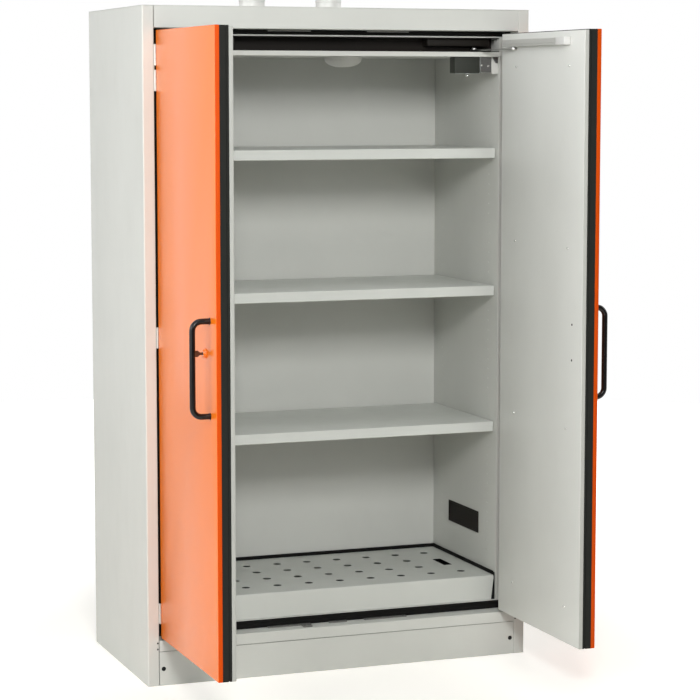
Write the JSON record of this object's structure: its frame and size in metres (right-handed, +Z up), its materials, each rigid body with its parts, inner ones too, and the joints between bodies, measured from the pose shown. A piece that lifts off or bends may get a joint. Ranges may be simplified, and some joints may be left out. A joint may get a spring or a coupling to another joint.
{
  "type": "flammable storage cabinet",
  "caption": "Tall fire-resistant two-door storage cabinet with insulated walls, bright outer door skins, bow handles, door closers, lift-out shelves and a perforated insert over a spill sump.",
  "frame": {"origin": "centre of the body's footprint on the floor, doors and handles not counted", "axes": "+Z up, the door front faces -Y, +X to the right when facing the cabinet"},
  "size_m": [1.2282, 1.158, 2.0113],
  "materials": {
    "body_paint": "light grey powder coat, fine orange-peel texture, satin",
    "door_paint": "vivid orange powder coat, semi-gloss",
    "inner_paint": "light grey coating inside, satin",
    "shelf_paint": "light grey powder coat on folded sheet steel, satin",
    "fire_board": "matt mineral fire board",
    "seal_black": "matt black intumescent seal",
    "channel_black": "matt black coated steel",
    "sump_black": "matt black coated steel",
    "grille_black": "matt black",
    "galvanised": "galvanised sheet steel, dull",
    "handle_black": "black coated steel tube, satin gloss",
    "rail_metal": "silver lacquered aluminium, satin",
    "arm_steel": "zinc plated steel",
    "hinge_steel": "zinc plated steel",
    "lock_metal": "nickel plated",
    "rod_steel": "drawn steel",
    "white_plastic": "off-white moulded plastic, satin"
  },
  "bodies": {
    "cabinet_body": {"side_panel_left": "body_paint", "side_panel_right": "body_paint", "back_panel": "body_paint", "top_panel": "body_paint", "header_fascia": "body_paint", "sill": "body_paint", "plinth_panel": "body_paint", "base_pan": "galvanised", "insulation_left": "fire_board", "insulation_right": "fire_board", "insulation_back": "fire_board", "insulation_bottom": "fire_board", "insulation_top": "fire_board", "frame_ring": "inner_paint", "frame_seal": "seal_black", "liner_left": "inner_paint", "liner_right": "inner_paint", "liner_back": "inner_paint", "liner_floor": "inner_paint", "liner_ceiling": "inner_paint", "closer_channel": "channel_black", "keeper_left": "galvanised", "keeper_centre": "galvanised", "keeper_right": "galvanised", "smoke_detector": "white_plastic", "vent_grille": "grille_black", "release_unit": "galvanised", "exhaust_spigot": "white_plastic", "supply_spigot": "white_plastic", "closer_body_left": "channel_black", "closer_body_right": "channel_black", "hinge_left_top": "hinge_steel", "hinge_left_middle": "hinge_steel", "hinge_left_bottom": "hinge_steel", "hinge_right_top": "hinge_steel", "hinge_right_middle": "hinge_steel", "hinge_right_bottom": "hinge_steel"},
    "left_door": {"door_skin_left": "door_paint", "door_core_left": "fire_board", "door_inner_pan_left": "inner_paint", "door_edge_seal_left": "seal_black", "handle_left": "handle_black", "closer_rail_left": "rail_metal", "lock_housing": "door_paint"},
    "right_door": {"door_skin_right": "door_paint", "door_core_right": "fire_board", "door_inner_pan_right": "inner_paint", "door_edge_seal_right": "seal_black", "handle_right": "handle_black", "closer_rail_right": "rail_metal"},
    "key": {"lock_plug": "lock_metal", "key": "lock_metal"},
    "lock_rod": {"lock_rod": "rod_steel"},
    "closer_arm_left": {"closer_arm_left": "arm_steel"},
    "closer_arm_right": {"closer_arm_right": "arm_steel"},
    "shelf_1": {"shelf_1": "shelf_paint"},
    "shelf_2": {"shelf_2": "shelf_paint"},
    "shelf_3": {"shelf_3": "shelf_paint"},
    "spill_sump": {"spill_sump": "sump_black"},
    "perforated_insert": {"perforated_insert": "shelf_paint"}
  },
  "joints": [
    {"name": "left_door_hinge", "type": "hinge", "parent": "cabinet_body", "child": "left_door", "pos_m": [-0.559, -0.301, 1], "axis": [0, 0, -1], "range_deg": [-90, 0]},
    {"name": "right_door_hinge", "type": "hinge", "parent": "cabinet_body", "child": "right_door", "pos_m": [0.559, -0.301, 1], "axis": [0, 0, 1], "range_deg": [-90, 0]},
    {"name": "closer_arm_left_pivot", "type": "hinge", "parent": "cabinet_body", "child": "closer_arm_left", "pos_m": [-0.46, -0.206, 1.835], "axis": [0, 0, -1], "range_deg": [-92, 1]},
    {"name": "closer_arm_right_pivot", "type": "hinge", "parent": "cabinet_body", "child": "closer_arm_right", "pos_m": [0.46, -0.206, 1.835], "axis": [0, 0, 1], "range_deg": [-92, 1]},
    {"name": "key_turn", "type": "hinge", "parent": "left_door", "child": "key", "pos_m": [-0.5605, -0.76, 1.017], "axis": [-1, 0, 0], "range_deg": [0, 90]},
    {"name": "lock_rod_slide", "type": "slide", "parent": "left_door", "child": "lock_rod", "axis": [0, 0, -1], "range_m": [0, 0.008]},
    {"name": "shelf_1_lift", "type": "slide", "parent": "cabinet_body", "child": "shelf_1", "axis": [0, 0, 1], "range_m": [0, 0.03]},
    {"name": "shelf_2_lift", "type": "slide", "parent": "cabinet_body", "child": "shelf_2", "axis": [0, 0, 1], "range_m": [0, 0.03]},
    {"name": "shelf_3_lift", "type": "slide", "parent": "cabinet_body", "child": "shelf_3", "axis": [0, 0, 1], "range_m": [0, 0.03]},
    {"name": "sump_lift", "type": "slide", "parent": "cabinet_body", "child": "spill_sump", "axis": [0, 0, 1], "range_m": [0, 0.04]},
    {"name": "insert_lift", "type": "slide", "parent": "spill_sump", "child": "perforated_insert", "axis": [0, 0, 1], "range_m": [0, 0.12]}
  ],
  "couplings": [
    {"joint": "closer_arm_left_pivot", "follows": "left_door_hinge", "ratio": 1.0152},
    {"joint": "closer_arm_right_pivot", "follows": "right_door_hinge", "ratio": 1.0152},
    {"joint": "key_turn", "follows": "lock_rod_slide", "rad_per_m": 196.3}
  ]
}
